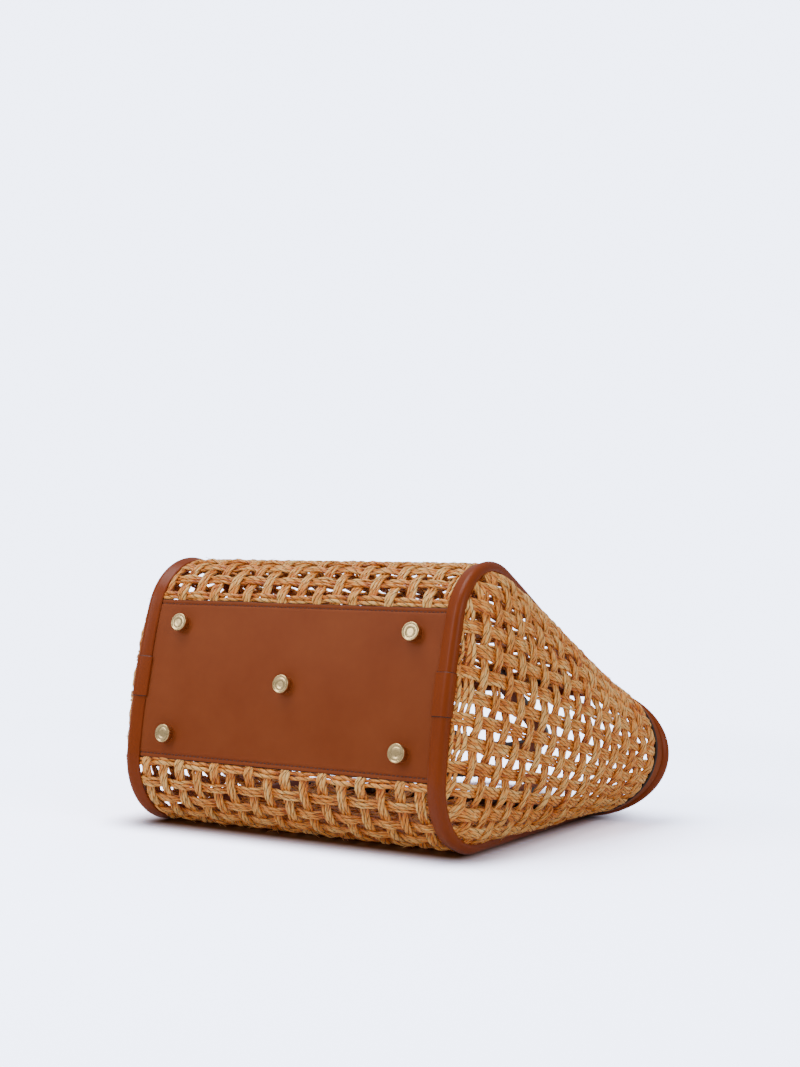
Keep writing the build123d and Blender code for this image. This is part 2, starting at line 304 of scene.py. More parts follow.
def on_profile(arc, out):
    """The places y, z on the side profile at a length from the base's middle, moved outwards."""
    y, z, along_y, along_z = (np.interp(arc, profile_arcs, line) for line in (*profile.T, *profile_along.T))
    return y - along_z * out, z + along_y * out


def lay_down(x, y, z):
    """Points of the bag's own frame in millimetres, turned onto its lower face, in metres."""
    x, y, z = np.broadcast_arrays(x, y, z)
    turned_y = y * np.cos(lower_slope) + z * np.sin(lower_slope) - lying_y
    turned_z = z * np.cos(lower_slope) - y * np.sin(lower_slope) + lying_z
    return np.stack([x, turned_y, turned_z], -1) / 1000


def leather(name, dark, middle, light, roughness, gloss):
    """Aniline-dyed calf with a light wax: soft clouds of colour, a fine pebble and a low gloss.

    The clouds are about 40 mm across, and the pebble's cells, 0.5 mm, are drawn at 0.7 mm to show.
    """
    finish, shader = new_finish(name)
    place = add_node(finish, "ShaderNodeTexCoord").outputs["Object"]
    cloud_values = {"Vector": place, "Scale": 24.0, "Detail": 5.0, "Roughness": 0.55}
    clouds = add_node(finish, "ShaderNodeTexNoise", cloud_values)
    pebble = add_node(finish, "ShaderNodeTexVoronoi", {"Vector": place, "Scale": 1400.0}, feature="SMOOTH_F1")
    pores = add_node(finish, "ShaderNodeTexNoise", {"Vector": place, "Scale": 2600.0, "Detail": 3.0})
    ramp = add_node(finish, "ShaderNodeValToRGB", {"Fac": clouds.outputs["Fac"]})
    ramp.color_ramp.elements[0].position, ramp.color_ramp.elements[0].color = 0.3, to_linear(dark)
    ramp.color_ramp.elements[1].position, ramp.color_ramp.elements[1].color = 0.72, to_linear(light)
    ramp.color_ramp.elements.new(0.5).color = to_linear(middle)
    limits = {"Value": pores.outputs["Fac"], "To Min": roughness - 0.06, "To Max": roughness + 0.08}
    rough = add_node(finish, "ShaderNodeMapRange", limits)
    grain = add_node(
        finish, "ShaderNodeBump", {"Height": pebble.outputs["Distance"], "Strength": 0.1, "Distance": 0.0002}
    )
    fine_values = {"Height": pores.outputs["Fac"], "Strength": 0.07, "Distance": 0.0001}
    fine = add_node(finish, "ShaderNodeBump", {**fine_values, "Normal": grain.outputs["Normal"]})
    shade(
        finish,
        shader,
        {"Base Color": ramp.outputs["Color"], "Roughness": rough.outputs["Result"], "Normal": fine.outputs["Normal"]},
    )
    shade(finish, shader, {"IOR": 1.46, "Specular IOR Level": gloss})
    return finish


calf = leather("saddle_calf_leather", "#823D1C", "#86411F", "#8A4522", 0.48, 0.14)
edge_paint, edge_shader = new_finish("edge_paint")
edge_place = add_node(edge_paint, "ShaderNodeTexCoord").outputs["Object"]
edge_wear = add_node(edge_paint, "ShaderNodeTexNoise", {"Vector": edge_place, "Scale": 400.0})
edge_tone = add_node(
    edge_paint,
    "ShaderNodeMix",
    {"Factor": edge_wear.outputs["Fac"], 6: to_linear("#190B06"), 7: to_linear("#2C130A")},
    data_type="RGBA",
)
shade(edge_paint, edge_shader, {"Base Color": edge_tone.outputs[2], "Roughness": 0.42})

panel_arc, leather_height, leather_thickness, stitch_inset = 107.0, 1.5, 1.6, 3.0
foot_spots = [(x, arc) for arc in (-37.0, 37.0) for x in (-90.5, 90.5)] + [(0.0, 0.0)]


def panel_height(x, arc):
    """The leather's height: a slight wave, a soft dip round each foot, a drawn-in line of stitches
    and a rounded edge."""
    wave = 0.12 * np.sin(x / 31 + 0.6) * np.cos(arc / 19) + 0.08 * np.sin(x / 13 + arc / 11)
    dips = sum(
        0.9 * np.exp(-((x - spot_x) ** 2 + (arc - spot_arc) ** 2) / 75) for spot_x, spot_arc in foot_spots
    )
    from_edge = panel_arc / 2 - np.abs(arc)
    stitched = 0.55 * np.exp(-(((from_edge - stitch_inset) / 0.75) ** 2))
    rounded = 0.5 * np.clip(1 - from_edge / 0.7, 0, 1) ** 2
    return leather_height + wave - dips - stitched - rounded


edge_steps = np.array([0.0, 0.12, 0.3, 0.55, 0.85, 1.3, 1.8, 2.2, 2.5, 2.8, 3.0, 3.2, 3.5, 3.8, 4.2, 4.8])
inner_lines = np.linspace(5.8 - panel_arc / 2, panel_arc / 2 - 5.8, 90)
panel_lines = np.concatenate([edge_steps - panel_arc / 2, inner_lines, panel_arc / 2 - edge_steps[::-1]])
panel_x, panel_arcs = np.meshgrid(np.linspace(-114.3, 114.3, 180), panel_lines, indexing="ij")
panel_points = lay_down(panel_x, *on_profile(panel_arcs, panel_height(panel_x, panel_arcs)))
# Dark paint on the face's last 0.6 mm: real edge paint, and painted shade of the gap to the weave.
edge_paint_and_shade_faces = np.tile(np.abs(panel_lines[1:] + panel_lines[:-1]) / 2 > panel_arc / 2 - 0.6, len(panel_x) - 1)
panel_faces = grid_faces(*panel_x.shape)[:, ::-1]
panel = build_mesh("base_leather", panel_points.reshape(-1, 3), [panel_faces], [calf, edge_paint], edge_paint_and_shade_faces)
panel_wall = panel.modifiers.new("wall", "SOLIDIFY")
panel_wall.thickness, panel_wall.offset, panel_wall.material_offset_rim = leather_thickness / 1000, -1, 1
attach(panel, "root")
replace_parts(panel, "base_panel")


def thread_beads(name, middles, nexts, beyonds, length, radius, finish):
    """Short threads: each a bead with a round section that tapers towards both of its ends.

    nexts are points further along each thread, and beyonds are points further out.
    """
    along, outwards = nexts - middles, beyonds - middles
    along /= np.linalg.norm(along, axis=-1)[:, None]
    outwards /= np.linalg.norm(outwards, axis=-1)[:, None]
    share = np.linspace(-1, 1, 7)[:, None, None]
    turn = np.arange(6)[None, :, None] * np.pi / 3
    thick = radius * np.sqrt(np.maximum(1 - np.abs(share) ** 4, 0.02))
    aside = np.cross(outwards, along)
    shapes = middles[:, None, None] + along[:, None, None] * share * length / 2
    ring = np.cos(turn) * aside[:, None, None] + np.sin(turn) * outwards[:, None, None]
    shapes = shapes + thick * ring
    starts = np.arange(len(middles))[:, None, None] * 42
    sides = (grid_faces(7, 6, round_columns=True)[None] + starts).reshape(-1, 4)
    ends = (np.stack([np.arange(6)[::-1], np.arange(36, 42)])[None] + starts).reshape(-1, 6)
    piece = build_mesh(name, shapes.reshape(-1, 3), [sides, ends], [finish])
    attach(piece, "root")
    return piece


thread, thread_shader = new_finish("waxed_thread")
thread_place = add_node(thread, "ShaderNodeTexCoord").outputs["Object"]
thread_wear = add_node(thread, "ShaderNodeTexNoise", {"Vector": thread_place, "Scale": 700.0})
thread_tone = add_node(
    thread,
    "ShaderNodeMix",
    {"Factor": thread_wear.outputs["Fac"], 6: to_linear("#3F180A"), 7: to_linear("#6B3216")},
    data_type="RGBA",
)
shade(thread, thread_shader, {"Base Color": thread_tone.outputs[2], "Roughness": 0.5})
stitch_lines = np.array([-1, 1]) * (panel_arc / 2 - stitch_inset)
stitch_x, stitch_arc = (grid.ravel() for grid in np.meshgrid(np.arange(-111, 111.1, 3.0), stitch_lines))
stitch_out = panel_height(stitch_x, stitch_arc) + 0.1
stitch_middles = lay_down(stitch_x, *on_profile(stitch_arc, stitch_out))
stitch_nexts = lay_down(stitch_x + 1, *on_profile(stitch_arc + 0.15, stitch_out))
stitch_beyonds = lay_down(stitch_x, *on_profile(stitch_arc, stitch_out + 1))
thread_beads("base_stitches", stitch_middles, stitch_nexts, stitch_beyonds, 0.0023, 0.00036, thread)


# The pipings and their sleeves.
# A cord wrapped in leather is sewn into the seam between the panels and each gusset, with a narrow
# flange beside it. At the middle of the base its ends meet under a sleeve of thinner leather.
def along_seam(arcs, aside, out, side):
    """A section carried along the seam: aside is its distance outwards from the bag's middle."""
    y, z = on_profile(arcs[:, None], out)
    return lay_down(side * (width / 2 + aside), y, z)


def swept(name, grids, side, finishes, painted_rows=None):
    """Closed sections carried along lines, with a face over each end, as one mesh.

    Each grid holds a row of points for each place. The sections run the way round that makes the
    faces of a left piece point outwards, so a right piece's faces are turned over.
    """
    faces, numbers, offset = [], [], 0
    for grid in grids:
        rows, columns = grid.shape[:2]
        faces += [grid_faces(rows, columns, round_columns=True) + offset, np.arange(columns)[None, ::-1] + offset]
        faces += [np.arange(columns)[None] + (rows - 1) * columns + offset]
        marks = np.zeros(rows - 1, int) if painted_rows is None else painted_rows
        numbers += [np.repeat(marks, columns), [int(painted_rows is not None)] * 2]
        offset += rows * columns
    faces = [group[:, ::-1] for group in faces] if side > 0 else faces
    points = np.concatenate([grid.reshape(-1, 3) for grid in grids])
    return build_mesh(name, points, faces, finishes, np.concatenate(numbers))


def arc_at(face, y):
    """The length along the profile to a place y on a face, 1 for the upper, -1 for the lower."""
    half = upper_half if face > 0 else lower_half
    arcs = np.concatenate([[0], np.cumsum(np.hypot(*np.diff(half, axis=0).T))])
    return face * np.interp(y, half[:, 0], arcs)


roll_start, band_start, piping_radius = height - 7.5, height - 15.0, 4.3
piping_calf = leather("wrapped_calf_leather", "#7E3410", "#82370F", "#863A12", 0.33, 0.22)
piping_arcs = np.linspace(arc_at(-1, band_start + 1), arc_at(1, band_start + 1), 260)
wrap_turn = np.radians(np.linspace(-155, 100, 30))
wrap_aside = np.concatenate([piping_radius * np.cos(wrap_turn), [-3.8, -5.8, -6.7, -7.0, -7.0, -6.6]])
wrap_out = np.concatenate([piping_radius * np.sin(wrap_turn), [3.35, 2.75, 2.5, 2.2, 1.6, 1.0]])
sleeve_turn = np.radians(np.linspace(104, -150, 24))
sleeve_aside = np.concatenate([[-7.6, -7.9, -8.0, -7.8, -7.2], 4.95 * np.cos(sleeve_turn)])[::-1]
sleeve_out = np.concatenate([[0.6, 1.2, 2.6, 3.0, 3.2], 4.95 * np.sin(sleeve_turn)])[::-1]
sleeve_end = np.array([13.6, 13.5, 13.2, 12.9, 12.6])
sleeve_arcs = np.concatenate([-sleeve_end, np.linspace(-12, 12, 30), sleeve_end[::-1]])
sleeve_size = 1 - 0.1 * np.clip(1 - (13.6 - np.abs(sleeve_arcs)) / 0.5, 0, 1)[:, None] ** 2
sleeve_ends = (np.abs(sleeve_arcs[1:] + sleeve_arcs[:-1]) / 2 > 13.1).astype(int)
for side, side_name in ((1, "right"), (-1, "left")):
    wrap = along_seam(piping_arcs, wrap_aside, wrap_out, side)
    piping = swept(side_name + "_wrapped_piping", [wrap], side, [piping_calf])
    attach(piping, "root")
    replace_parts(piping, side_name + "_piping")
    sleeve_grid = along_seam(sleeve_arcs, sleeve_aside * sleeve_size, sleeve_out * sleeve_size, side)
    sleeve = swept(side_name + "_sleeve", [sleeve_grid], side, [piping_calf, edge_paint], sleeve_ends)
    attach(sleeve, "root")
    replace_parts(sleeve, side_name + "_piping_sleeve")


# The woven straw.
# Bands of loosely twisted two-ply cords of dried grass, in plain weave, over one and under one.
# The cords draw together where a band passes over, and part where it dives.
def straw():
    """Dried grass: each cord has its own tone, fibres run along it, shade is painted dark into the creases between
    the plies, and a cord is painted darker as shade where it dives and lighter where it rises.
    """
    finish, shader = new_finish("dried_grass_cord")
    where = add_node(finish, "ShaderNodeUVMap", uv_map="cord").outputs["UV"]
    parts = add_node(finish, "ShaderNodeSeparateXYZ", {"Vector": where})
    tone = add_node(finish, "ShaderNodeAttribute", attribute_name="tone")
    over = add_node(finish, "ShaderNodeAttribute", attribute_name="over")
    turned = add_node(finish, "ShaderNodeMath", {0: parts.outputs["Y"], 1: parts.outputs["X"]}, operation="SUBTRACT")
    half_turns = add_node(finish, "ShaderNodeMath", {0: turned.outputs[0], 1: 2 * np.pi}, operation="MULTIPLY")
    ply = add_node(finish, "ShaderNodeMath", {0: half_turns.outputs[0]}, operation="COSINE")
    ply = add_node(finish, "ShaderNodeMath", {0: ply.outputs[0]}, operation="ABSOLUTE")
    crease_values = {"Value": ply.outputs[0], "From Max": 0.42}
    crease = add_node(finish, "ShaderNodeMapRange", crease_values, interpolation_type="SMOOTHSTEP")
    strand_values = {"X": parts.outputs["X"], "Y": turned.outputs[0], "Z": tone.outputs["Fac"]}
    strand = add_node(finish, "ShaderNodeCombineXYZ", strand_values)
    fibre_pace = (2.2, 11.0, 40.0)
    spread = add_node(finish, "ShaderNodeVectorMath", {0: strand.outputs[0], 1: fibre_pace}, operation="MULTIPLY")
    fibre_values = {"Vector": spread.outputs[0], "Scale": 1.0, "Detail": 3.0, "Roughness": 0.6}
    fibres = add_node(finish, "ShaderNodeTexNoise", fibre_values)
    place = add_node(finish, "ShaderNodeTexCoord").outputs["Object"]
    patches = add_node(finish, "ShaderNodeTexNoise", {"Vector": place, "Scale": 60.0, "Detail": 3.0})
    mixed = -0.46
    # Painted shade: "over", the cord's height at the crossings, makes the dived parts darker and the raised parts
    # lighter.
    for source, amount in ((tone, 0.26), (fibres, 1.35), (patches, 0.5), (over, 0.14)):
        values = {0: source.outputs["Fac"], 1: amount, 2: mixed}
        mixed = add_node(finish, "ShaderNodeMath", values, operation="MULTIPLY_ADD").outputs[0]
    ramp = add_node(finish, "ShaderNodeValToRGB", {"Fac": mixed})
    ramp.color_ramp.elements[0].position, ramp.color_ramp.elements[0].color = 0.12, to_linear("#8A3A0A")
    ramp.color_ramp.elements[1].position, ramp.color_ramp.elements[1].color = 0.92, to_linear("#FFCE80")
    for position, code in ((0.32, "#BC5A14"), (0.5, "#E48528"), (0.7, "#F6AA50")):
        ramp.color_ramp.elements.new(position).color = to_linear(code)
    # Painted shade: the creases between the plies are mixed towards dark brown.
    painted_crease_shade_colours = {"Factor": crease.outputs["Result"], 6: to_linear("#5E2606"), 7: ramp.outputs["Color"]}
    painted_crease_shade = add_node(finish, "ShaderNodeMix", painted_crease_shade_colours, data_type="RGBA")
    relief_values = {0: fibres.outputs["Fac"], 1: 0.6, 2: crease.outputs["Result"]}
    relief = add_node(finish, "ShaderNodeMath", relief_values, operation="MULTIPLY_ADD")
    bump = add_node(finish, "ShaderNodeBump", {"Height": relief.outputs[0], "Strength": 0.8, "Distance": 0.0004})
    shade(
        finish,
        shader,
        {"Base Color": painted_crease_shade.outputs[2], "Roughness": 0.38, "Normal": bump.outputs["Normal"], "IOR": 1.5},
    )
    return finish


grass = straw()
cord_radius, cord_sides, cord_twist, weave_out = 1.02, 6, 14.0, 1.55


def smooth_noise(rng, shape, rough_steps):
    """Random waves along each row: random values at even steps, joined by a smooth curve."""
    rows, count = shape
    knots = rng.normal(size=(rows, rough_steps + 3))
    place = np.linspace(0, rough_steps, count)
    step = np.minimum(place.astype(int), rough_steps - 1)
    share = place - step
    share = share * share * (3 - 2 * share)
    return knots[:, step] * (1 - share) + knots[:, step + 1] * share


def band_cords(rng, bands, lanes, centre, crossing, cells, steps, pitch, spacing, phase):
    """Centre lines of a direction's cords: place along, place aside and height, each by cord and step.

    A band's height is a cosine of its place along, so it is up at one crossing and down at the
    next. The gap between its cords shrinks with the height, and every cord wanders a little.
    """
    along = np.broadcast_to(np.linspace(cells[0], cells[1], steps), (bands * lanes, steps))
    band = np.repeat(np.arange(bands), lanes)[:, None]
    lane = np.tile(np.arange(lanes) - (lanes - 1) / 2, bands)[:, None]
    lift = phase * np.cos(np.pi * (along - crossing - band))
    lift = np.sign(lift) * np.abs(lift) ** 0.8
    knots = max(int(cells[1] - cells[0]) * 2, 4)
    apart = spacing * (1 - 0.06 * lift)
    wander = 0.2 * smooth_noise(rng, (bands * lanes, steps), knots)
    drift = np.repeat(0.4 * smooth_noise(rng, (bands, steps), max(knots // 4, 2)), lanes, axis=0)
    aside = band + centre + (lane * apart + wander + drift) / pitch
    crowned = 0.25 * (np.abs(lane) < 0.6) * np.maximum(lift, 0)
    rise = 0.95 * lift + crowned + 0.22 * smooth_noise(rng, (bands * lanes, steps), knots)
    return along, aside, rise, lift


def loose_fibres(rng, centres, normals, kept, count):
    """Frayed fibres: short curves that leave a cord, run beside it and rise a little."""
    cord, step = rng.integers(0, centres.shape[0], count), rng.integers(4, centres.shape[1] - 4, count)
    inside = kept[cord, step] & kept[cord, step - 4] & kept[cord, step + 4]
    cord, step = cord[inside], step[inside]
    start, outward = centres[cord, step], normals[cord, step]
    along = centres[cord, step + 3] - centres[cord, step - 3]
    along /= np.linalg.norm(along, axis=-1, keepdims=True)
    count = len(start)
    share = np.linspace(0, 1, 6)[None, :, None]
    length = rng.uniform(3, 8, (count, 1, 1)) * rng.choice([-1, 1], (count, 1, 1))
    swing = rng.uniform(-0.7, 0.7, (count, 1, 1))
    rise = rng.uniform(0.1, 1.6, (count, 1, 1))
    aside = np.cross(outward, along)[:, None]
    curve = along[:, None] * length * share + aside * length * swing * share * (1.3 - share)
    curve = start[:, None] + (curve + outward[:, None] * (0.9 + rise * share**1.5)) / 1000
    every = np.ones((count, 6), bool)
    return curve, np.repeat(outward[:, None], 6, 1), every, 0.8 * every, 0.11, 0.5


def cord_mesh(name, groups, rng):
    """Twisted cords round their centre lines, one mesh for all.

    A section is a circle with two plies: its radius swells twice a turn, and the swelling turns
    once in the cord's twist, in millimetres. Runs end in a face where their points leave the piece,
    and what would pass into the floor is pressed flat on it.
    """
    points, quads, caps, tones, painted_height_shades, corners, offset = [], [], [], [], [], [], 0
    turn = np.arange(cord_sides) * 2 * np.pi / cord_sides
    side = np.arange(cord_sides)
    after = (side + 1) % cord_sides
    for centres, normals, kept, lift, scale, lighter in groups:
        along = np.gradient(centres, axis=1)
        along /= np.linalg.norm(along, axis=-1, keepdims=True)
        aside = np.cross(normals, along)
        aside /= np.linalg.norm(aside, axis=-1, keepdims=True)
        outward = np.cross(along, aside)
        cords, steps = centres.shape[:2]
        lengths = np.linalg.norm(np.diff(centres, axis=1, prepend=centres[:, :1]), axis=-1) * 1000
        turns = np.cumsum(lengths, axis=1) / cord_twist + rng.uniform(0, 1, (cords, 1))
        thick = cord_radius * scale * (1 + 0.1 * smooth_noise(rng, (cords, steps), 14))
        plies = 1 + 0.15 * np.cos(2 * (turn - 2 * np.pi * turns[..., None]))
        radius = (thick[..., None] * plies)[..., None] / 1000
        ring = np.cos(turn)[:, None] * aside[:, :, None] + np.sin(turn)[:, None] * outward[:, :, None]
        points.append((centres[:, :, None] + radius * ring).reshape(-1, 3))
        base = offset + (np.arange(cords)[:, None] * steps + np.arange(steps)) * cord_sides
        joined = kept[:, :-1] & kept[:, 1:]
        cord, step = np.nonzero(joined)
        near, far = base[cord, step][:, None], base[cord, step + 1][:, None]
        quads.append(np.stack([near + side, near + after, far + after, far + side], -1).reshape(-1, 4))
        here, there = turns[cord, step], turns[cord, step + 1]
        lengthwise = np.stack([here, here, there, there], -1)[:, None]
        around = (side[:, None] + np.array([0, 1, 1, 0])) / cord_sides
        corners.append(np.stack(np.broadcast_arrays(lengthwise, around), -1).reshape(-1, 2))
        before, later = np.zeros((2, cords, steps), bool)
        before[:, 1:], later[:, :-1] = joined, joined
        caps += [base[later & ~before][:, None] + side[::-1], base[before & ~later][:, None] + side]
        tone = rng.uniform(0, 1, (cords, 1)) + lighter + 0.25 * smooth_noise(rng, (cords, steps), 9)
        tones.append(np.repeat(tone.ravel(), cord_sides))
        # The painted shade by height: each cord's rise at the crossings, kept as the attribute over.
        painted_height_shades.append(np.repeat(lift.ravel(), cord_sides))
        offset += cords * steps * cord_sides
    points, tones, painted_height_shades = np.concatenate(points), np.concatenate(tones), np.concatenate(painted_height_shades)
    above_floor = 0.0001
    points[:, 2] = np.maximum(points[:, 2], above_floor)
    quads, caps = np.concatenate(quads), np.concatenate(caps)
    used, places = np.unique(np.concatenate([quads.ravel(), caps.ravel()]), return_inverse=True)
    quads, caps = places[: quads.size].reshape(-1, 4), places[quads.size :].reshape(-1, cord_sides)
    piece = build_mesh(name, points[used], [quads, caps], [grass])
    for label, values in (("tone", tones[used]), ("over", painted_height_shades[used])):
        marks = piece.data.attributes.new(label, "FLOAT", "POINT")
        marks.data.foreach_set("value", values.astype(np.float32))
    corners.append(np.zeros((caps.size, 2)))
    corner_map = piece.data.uv_layers.new(name="cord")
    corner_map.uv.foreach_set("vector", np.concatenate(corners).astype(np.float32).ravel())
    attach(piece, "root")
    return piece


def ease(value, start, end):
    """0 before start, 1 after end and a smooth curve between them."""
    share = np.clip((value - start) / (end - start), 0, 1)
    return share * share * (3 - 2 * share)


# The upper and lower woven panels.
# Each runs from under the base leather's edge, round the corner and along its face to the mouth
# band, with the seams of the pipings along its sides. Its first row lies close to the leather.
panel_rows, panel_edge, row_drawn_in, panel_fibres = 18, 113.4, 2.2, 170


def panel_weave(name, face, seed, columns, first_column, phase):
    """A panel's cords, on the side profile across the bag's width."""
    rng = np.random.default_rng(seed)
    first, last = panel_arc / 2 - 3.2, abs(arc_at(face, band_start))
    columns_wide = columns - 1 + 2 * first_column
    pitch_x, pitch_arc = 2 * panel_edge / columns_wide, (last - first) / panel_rows

    def place(across, up, lift, over, lighter):
        """Points and outward directions at a column, a row and a height above the weave's middle.

        The first row is drawn in towards the leather's edge, and its cords are thicker.
        """
        x, arc = across * pitch_x - panel_edge, first + up * pitch_arc
        arc = arc - row_drawn_in * (1 - ease(arc, first + 2, first + 16))
        tucked = ease(arc, first + 1.6, first + 7.2) * (1 - ease(arc, last - 5.0, last + 1.5))
        out = -0.9 + (weave_out + 0.9) * tucked + lift * (0.25 + 0.75 * tucked)
        out = out * ease(panel_edge - np.abs(x), -0.5, 7.0)
        points = lay_down(x, *on_profile(face * arc, out))
        beyond = lay_down(x, *on_profile(face * arc, out + 1))
        scale = 1.02 + 0.33 * (1 - ease(up, 0.9, 1.5))
        return points, (beyond - points) * 1000, np.ones(x.shape, bool), over, scale, lighter

    up_cells, wide_cells = (-0.2, panel_rows + 0.25), (-0.2, columns_wide + 0.2)
    along, aside, lift, over = band_cords(rng, columns, 3, first_column, 0.5, up_cells, 124, pitch_x, 2.25, phase)
    upright = place(aside, along, lift, over, 0.12)
    along, aside, lift, over = band_cords(
        rng, panel_rows, 3, 0.5, first_column, wide_cells, 122, pitch_arc, 2.2, -phase
    )
    level = place(along, aside, lift, over, -0.1)
    fibres = [loose_fibres(rng, *group[:3], panel_fibres) for group in (upright, level)]
    return cord_mesh(name, [upright, level, *fibres], rng)


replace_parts(panel_weave("upper_straw", 1, 11, 17, 0.25, -1), "upper_weave")
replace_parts(panel_weave("lower_straw", -1, 12, 16, 0.5, 1), "lower_weave")


# The woven gussets.
# Each fills the side between the pipings, nearly flat at the base and swelling to the mouth's
# round end. Its rows draw together towards the mouth, and its low edge lies 0.4 up the lowest one.
gusset_bulge, end_inset, gusset_front, gusset_swell, front_height = 3.5, 5.0, -12.4, 8.0, 199.5
gusset_rows, gusset_columns, row_shift, under_piping, gusset_fibres = 14, 18, 0.4, 1.2, 150
end_centre = width / 2 - end_inset
end_turn = np.arccos(end_inset / (end_inset + mouth_bulge))


def mouth_size(y):
    """The middle, the half depth and the round end's reach of the bag's section at y near the mouth."""
    upper = np.interp(y, upper_half[:, 0], upper_half[:, 1])
    lower = np.interp(y, lower_half[:, 0], lower_half[:, 1])
    grown = (height - y) / (height - gusset_front)
    return (upper + lower) / 2, (upper - lower) / 2, end_inset + mouth_bulge - (mouth_bulge - gusset_bulge) * grown


def gusset_surface(y, share, out):
    """The right gusset's skin in the bag's own frame, at a place from -1, low, to 1, high.

    The front is a shallow bow and the back half an ellipse, joined by straight lines.
    """
    slope = np.where(share > 0, upper_slope, lower_slope)
    front_x = width / 2 + gusset_bulge * (1 - share**2)
    front_z = share * (base_depth / 2 - gusset_front * np.tan(slope))
    centre, half, reach = mouth_size(band_start)
    back_x = end_centre + reach * np.cos(share * end_turn)
    back_z = centre + half * np.sin(share * end_turn)
    grown = (y - gusset_front) / (band_start - gusset_front)
    x, z = front_x + (back_x - front_x) * grown, front_z + (back_z - front_z) * grown
    outward_x = 1 + (np.cos(share * end_turn) - 1) * grown
    outward_z = np.sin(share * end_turn) * grown
    size = np.hypot(outward_x, outward_z)
    return x + outward_x / size * out, y, z + outward_z / size * out


def inside_depth(y, z):
    """How far a point lies inside the side profile; negative outside it."""
    line = profile[::4]
    flat_y, flat_z = y.ravel(), z.ravel()
    nearest = np.empty(flat_y.shape)
    for start in range(0, len(flat_y), 4000):
        part = slice(start, start + 4000)
        nearest[part] = np.hypot(flat_y[part, None] - line[:, 0], flat_z[part, None] - line[:, 1]).min(1)
    below = flat_z < np.interp(flat_y, upper_half[:, 0], upper_half[:, 1])
    above = flat_z > np.interp(flat_y, lower_half[:, 0], lower_half[:, 1])
    return np.where(below & above & (flat_y > -base_bow), nearest, -nearest).reshape(y.shape)


def gusset_weave(name, side, seed):
    """A gusset's cords, cut where they run into the piping.

    The straw swells out of the seam, most in the middle, and flattens again at the mouth band.
    """
    rng = np.random.default_rng(seed)
    pitch_y, pitch_z = (band_start - gusset_front) / gusset_columns, front_height / gusset_rows

    def place(down, up, lift, over, scale, lighter):
        """Points, outward directions and the points kept, at a column, a row and a height.

        The first column is moved clear of the piping.
        """
        down = down + 0.35 * (1 - ease(down, 0.4, 1.8))
        y, share = gusset_front + down * pitch_y, 2 * (up - row_shift) / gusset_rows - 1
        plain = gusset_surface(y, share, 0 * y)
        depth = inside_depth(plain[1], plain[2])
        tucked = ease(depth, 0.0, 9.0)
        at_mouth = 1 - ease(y, band_start - 5.0, band_start + 1.5)
        grown = (y - gusset_front) / (band_start - gusset_front)
        swell = gusset_swell * (1 - np.exp(-np.maximum(depth, 0) / 9)) * (1 - ease(grown, 0.5, 1.05))
        out = (weave_out * at_mouth + lift * (0.3 + 0.7 * at_mouth)) * (0.35 + 0.65 * tucked) + swell
        flatter = 0.4 + 0.6 * tucked
        near, further = (gusset_surface(y, share, height_out) for height_out in (out, out + 1))
        x = width / 2 + (near[0] - width / 2) * flatter
        points = lay_down(side * x, near[1], near[2])
        beyond = lay_down(side * (x + further[0] - near[0]), further[1], further[2])
        return points, (beyond - points) * 1000, depth > under_piping, over, scale, lighter

    up_cells, down_cells = (row_shift, row_shift + gusset_rows), (0.0, gusset_columns + 0.25)
    spread = 2.15 + 0.6 * ease(np.repeat(np.arange(gusset_columns), 3), 7, 16)[:, None]
    along, aside, lift, over = band_cords(rng, gusset_columns, 3, 0.5, 0.5, up_cells, 118, pitch_y, spread, -1)
    thicker = 0.4 * (1 - ease(aside, 0.6, 2.4)) + 0.25 * ease(aside, 7, 16)
    upright = place(aside, along, lift, over, 1.03 + thicker, 0.0)
    along, aside, lift, over = band_cords(rng, gusset_rows + 1, 4, 0.5, 0.5, down_cells, 118, pitch_z, 2.05, 1)
    level = place(along, aside, lift, over, 1.04 + 0.2 * (1 - ease(along, 2, 6)), -0.15)
    fibres = [loose_fibres(rng, *group[:3], gusset_fibres) for group in (upright, level)]
    return cord_mesh(name, [upright, level, *fibres], rng)


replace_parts(gusset_weave("right_straw", 1, 13), "right_gusset")
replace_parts(gusset_weave("left_straw", -1, 14), "left_gusset")


# The mouth's band and rolled edge.
# A flat leather band covers the weave's end all round, and beyond it the leather turns over a core
# into a round edge. A dark line of edge paint shows where the band meets the straw.
def mouth_outline(turns, y, out):
    """The mouth's outline at y: straight along the faces and half an ellipse at each end.

    turns runs from 0 to 4: a right end, the upper side, a left end and the lower side.
    """
    centre, half, reach = mouth_size(y)
    tall, wide = half + out / np.cos(upper_slope), reach + out
    part = np.minimum(turns.astype(int), 3)
    share = turns - part
    angle = np.pi * (share - 0.5)
    round_x, straight_x = end_centre + wide * np.cos(angle), end_centre * (1 - 2 * share)
    x = np.choose(part, [round_x, straight_x, -round_x, -straight_x])
    z = np.choose(part, [tall * np.sin(angle), tall + 0 * share, -tall * np.sin(angle), -tall + 0 * share])
    return x, y, centre + z


def mouth_ring(name, section, painted_part, finishes, node):
    """A ring whose section's corners are places y and heights out, in order round the section."""
    end_steps, side_steps = np.linspace(0, 1, 56, endpoint=False), np.linspace(0, 1, 24, endpoint=False)
    turns = np.concatenate([end_steps, 1 + side_steps, 2 + end_steps, 3 + side_steps])
    y, out = np.array(section).T
    x, y, z = mouth_outline(turns[:, None], y[None], out[None])
    points = lay_down(x, y + 0 * x, z).reshape(-1, 3)
    numbers = np.tile((np.arange(len(section)) < painted_part).astype(int), len(turns))
    piece = build_mesh(name, points, [grid_faces(len(turns), len(section), True, True)], finishes, numbers)
    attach(piece, "root")
    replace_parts(piece, node)
    return piece


